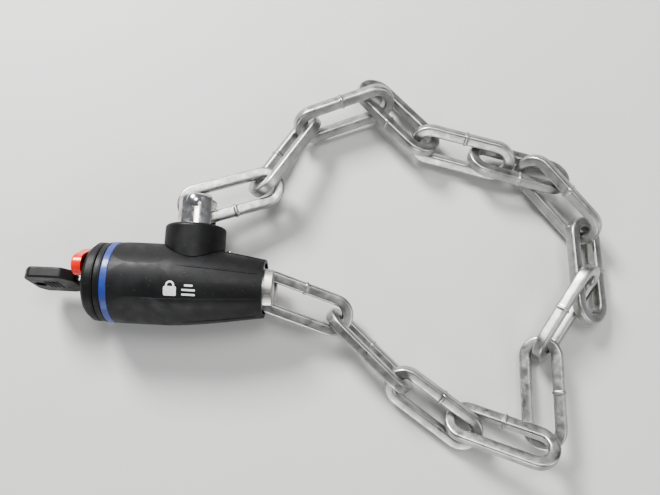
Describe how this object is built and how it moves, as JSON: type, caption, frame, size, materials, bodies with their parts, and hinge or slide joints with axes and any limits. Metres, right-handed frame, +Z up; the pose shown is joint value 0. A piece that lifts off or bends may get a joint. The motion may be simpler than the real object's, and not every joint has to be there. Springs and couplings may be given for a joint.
{
  "type": "bicycle chain lock",
  "caption": "Keyed chain lock: a round barrel with a turning disc core, a sliding locking bolt and a loop of welded steel links.",
  "frame": {"origin": "on the surface, under the middle of the lock as it lies, chain and key included", "axes": "+X along the barrel from the key to the tail, +Y the way the bolt slides out, +Z up"},
  "size_m": [0.261, 0.1774, 0.0361],
  "materials": {
    "cover_black": "fine grain",
    "cap_black": "satin",
    "ring_blue": "gloss",
    "flap_red": "gloss",
    "key_black": "satin",
    "collar_black": "satin",
    "key_steel": "bright",
    "bolt_chrome": "polished",
    "body_steel": "satin",
    "bright_steel": "bright",
    "hard_steel": "satin",
    "brass": "satin",
    "seal_rubber": "matte",
    "link_steel": "zinc plated, satin"
  },
  "bodies": {
    "lock": {"housing_cover": "cover_black", "accent_ring": "ring_blue", "end_cap": "cap_black", "cover_pin": "bright_steel", "cover_pivot_pin": "bright_steel", "lock_body": "body_steel", "rear_pin": "bright_steel", "shield_plate": "hard_steel", "core_sleeve": "brass", "set_screw": "hard_steel"},
    "plug": {"lock_plug": "brass", "detainer_discs": "hard_steel", "disc_spacers": "brass", "sidebar": "hard_steel", "drive_cam": "hard_steel", "plug_clip": "bright_steel"},
    "key": {"key_bow": "key_black", "key_blade": "key_steel"},
    "keyhole flap": {"keyhole_cover": "flap_red"},
    "bolt": {"bolt": "bolt_chrome", "bolt_collar": "collar_black", "bolt_seal": "seal_rubber", "bolt_rivet": "bolt_chrome"},
    "link 01": {"link_01": "link_steel"},
    "link 02": {"link_02": "link_steel"},
    "link 03": {"link_03": "link_steel"},
    "link 04": {"link_04": "link_steel"},
    "link 05": {"link_05": "link_steel"},
    "link 06": {"link_06": "link_steel"},
    "link 07": {"link_07": "link_steel"},
    "link 08": {"link_08": "link_steel"},
    "link 09": {"link_09": "link_steel"},
    "link 10": {"link_10": "link_steel"},
    "link 11": {"link_11": "link_steel"},
    "link 12": {"link_12": "link_steel"},
    "link 13": {"link_13": "link_steel"},
    "link 14": {"link_14": "link_steel"}
  },
  "joints": [
    {"name": "key_turn", "type": "hinge", "parent": "lock", "child": "plug", "pos_m": [-0.09832, -0.0178, 0.01806], "axis": [1, 0, 0], "range_deg": [0, 90]},
    {"name": "key_slide", "type": "slide", "parent": "plug", "child": "key", "axis": [-1, 0, 0], "range_m": [0, 0.032]},
    {"name": "cover_swing", "type": "hinge", "parent": "lock", "child": "keyhole flap", "pos_m": [-0.10347, -0.00835, 0.01926], "axis": [1, 0, 0], "range_deg": [-60, 0]},
    {"name": "bolt_slide", "type": "slide", "parent": "lock", "child": "bolt", "axis": [0, 1, 0], "range_m": [0, 0.022]},
    {"name": "rivet_swing", "type": "hinge", "parent": "bolt", "child": "link 01", "pos_m": [-0.05847, 0.0194, 0.01806], "axis": [0, 0, 1], "range_deg": [-7.3, 7.3]},
    {"name": "tail_swing", "type": "hinge", "parent": "lock", "child": "link 14", "pos_m": [-0.02567, -0.0178, 0.01806], "axis": [0, 0, 1], "range_deg": [-4, 4]},
    {"name": "link_13_swing", "type": "hinge", "parent": "link 14", "child": "link 13", "pos_m": [0.0075, -0.02977, 0.00916], "axis": [0, 0, 1], "range_deg": [-4, 4]},
    {"name": "link_12_swing", "type": "hinge", "parent": "link 13", "child": "link 12", "pos_m": [0.03601, -0.05532, 0.00916], "axis": [0, 0, 1], "range_deg": [-3, 3]},
    {"name": "link_11_swing", "type": "hinge", "parent": "link 12", "child": "link 11", "pos_m": [0.06529, -0.07363, 0.00916], "axis": [0, 0, 1], "range_deg": [-3.7, 3.7]},
    {"name": "link_10_swing", "type": "hinge", "parent": "link 11", "child": "link 10", "pos_m": [0.09752, -0.07639, 0.00916], "axis": [0, 0, 1], "range_deg": [-0.9, 0.9]},
    {"name": "link_09_swing", "type": "hinge", "parent": "link 10", "child": "link 09", "pos_m": [0.10098, -0.03839, 0.00916], "axis": [0, 0, 1], "range_deg": [-4.2, 4.2]},
    {"name": "link_08_swing", "type": "hinge", "parent": "link 09", "child": "link 08", "pos_m": [0.11939, -0.01259, 0.00916], "axis": [0, 0, 1], "range_deg": [-4.2, 4.2]},
    {"name": "link_07_swing", "type": "hinge", "parent": "link 08", "child": "link 07", "pos_m": [0.11846, 0.0167, 0.00916], "axis": [0, 0, 1], "range_deg": [-4.2, 4.2]},
    {"name": "link_06_swing", "type": "hinge", "parent": "link 07", "child": "link 06", "pos_m": [0.1005, 0.04251, 0.00916], "axis": [0, 0, 1], "range_deg": [-2.7, 2.7]},
    {"name": "link_05_swing", "type": "hinge", "parent": "link 06", "child": "link 05", "pos_m": [0.07588, 0.04857, 0.00916], "axis": [0, 0, 1], "range_deg": [-3.9, 3.9]},
    {"name": "link_04_swing", "type": "hinge", "parent": "link 05", "child": "link 04", "pos_m": [0.04486, 0.0565, 0.00916], "axis": [0, 0, 1], "range_deg": [-3.5, 3.5]},
    {"name": "link_03_swing", "type": "hinge", "parent": "link 04", "child": "link 03", "pos_m": [0.02048, 0.07681, 0.00916], "axis": [0, 0, 1], "range_deg": [-4.2, 4.2]},
    {"name": "link_02_swing", "type": "hinge", "parent": "link 03", "child": "link 02", "pos_m": [-0.01077, 0.06117, 0.00916], "axis": [0, 0, 1], "range_deg": [-4.2, 4.2]}
  ],
  "couplings": [
    {"joint": "rivet_swing", "follows": "bolt_slide", "rad_per_m": -5.57},
    {"joint": "link_12_swing", "follows": "tail_swing", "ratio": -0.682},
    {"joint": "link_11_swing", "follows": "link_13_swing", "ratio": -0.868},
    {"joint": "link_10_swing", "follows": "bolt_slide", "rad_per_m": -0.51},
    {"joint": "link_09_swing", "follows": "bolt_slide", "rad_per_m": 3.17},
    {"joint": "link_08_swing", "follows": "bolt_slide", "rad_per_m": -3.17},
    {"joint": "link_07_swing", "follows": "bolt_slide", "rad_per_m": -3.17},
    {"joint": "link_06_swing", "follows": "bolt_slide", "rad_per_m": -1.92},
    {"joint": "link_05_swing", "follows": "link_13_swing", "ratio": 0.904},
    {"joint": "link_04_swing", "follows": "tail_swing", "ratio": 0.801},
    {"joint": "link_03_swing", "follows": "link_13_swing", "ratio": -1},
    {"joint": "link_02_swing", "follows": "tail_swing", "ratio": -1}
  ]
}
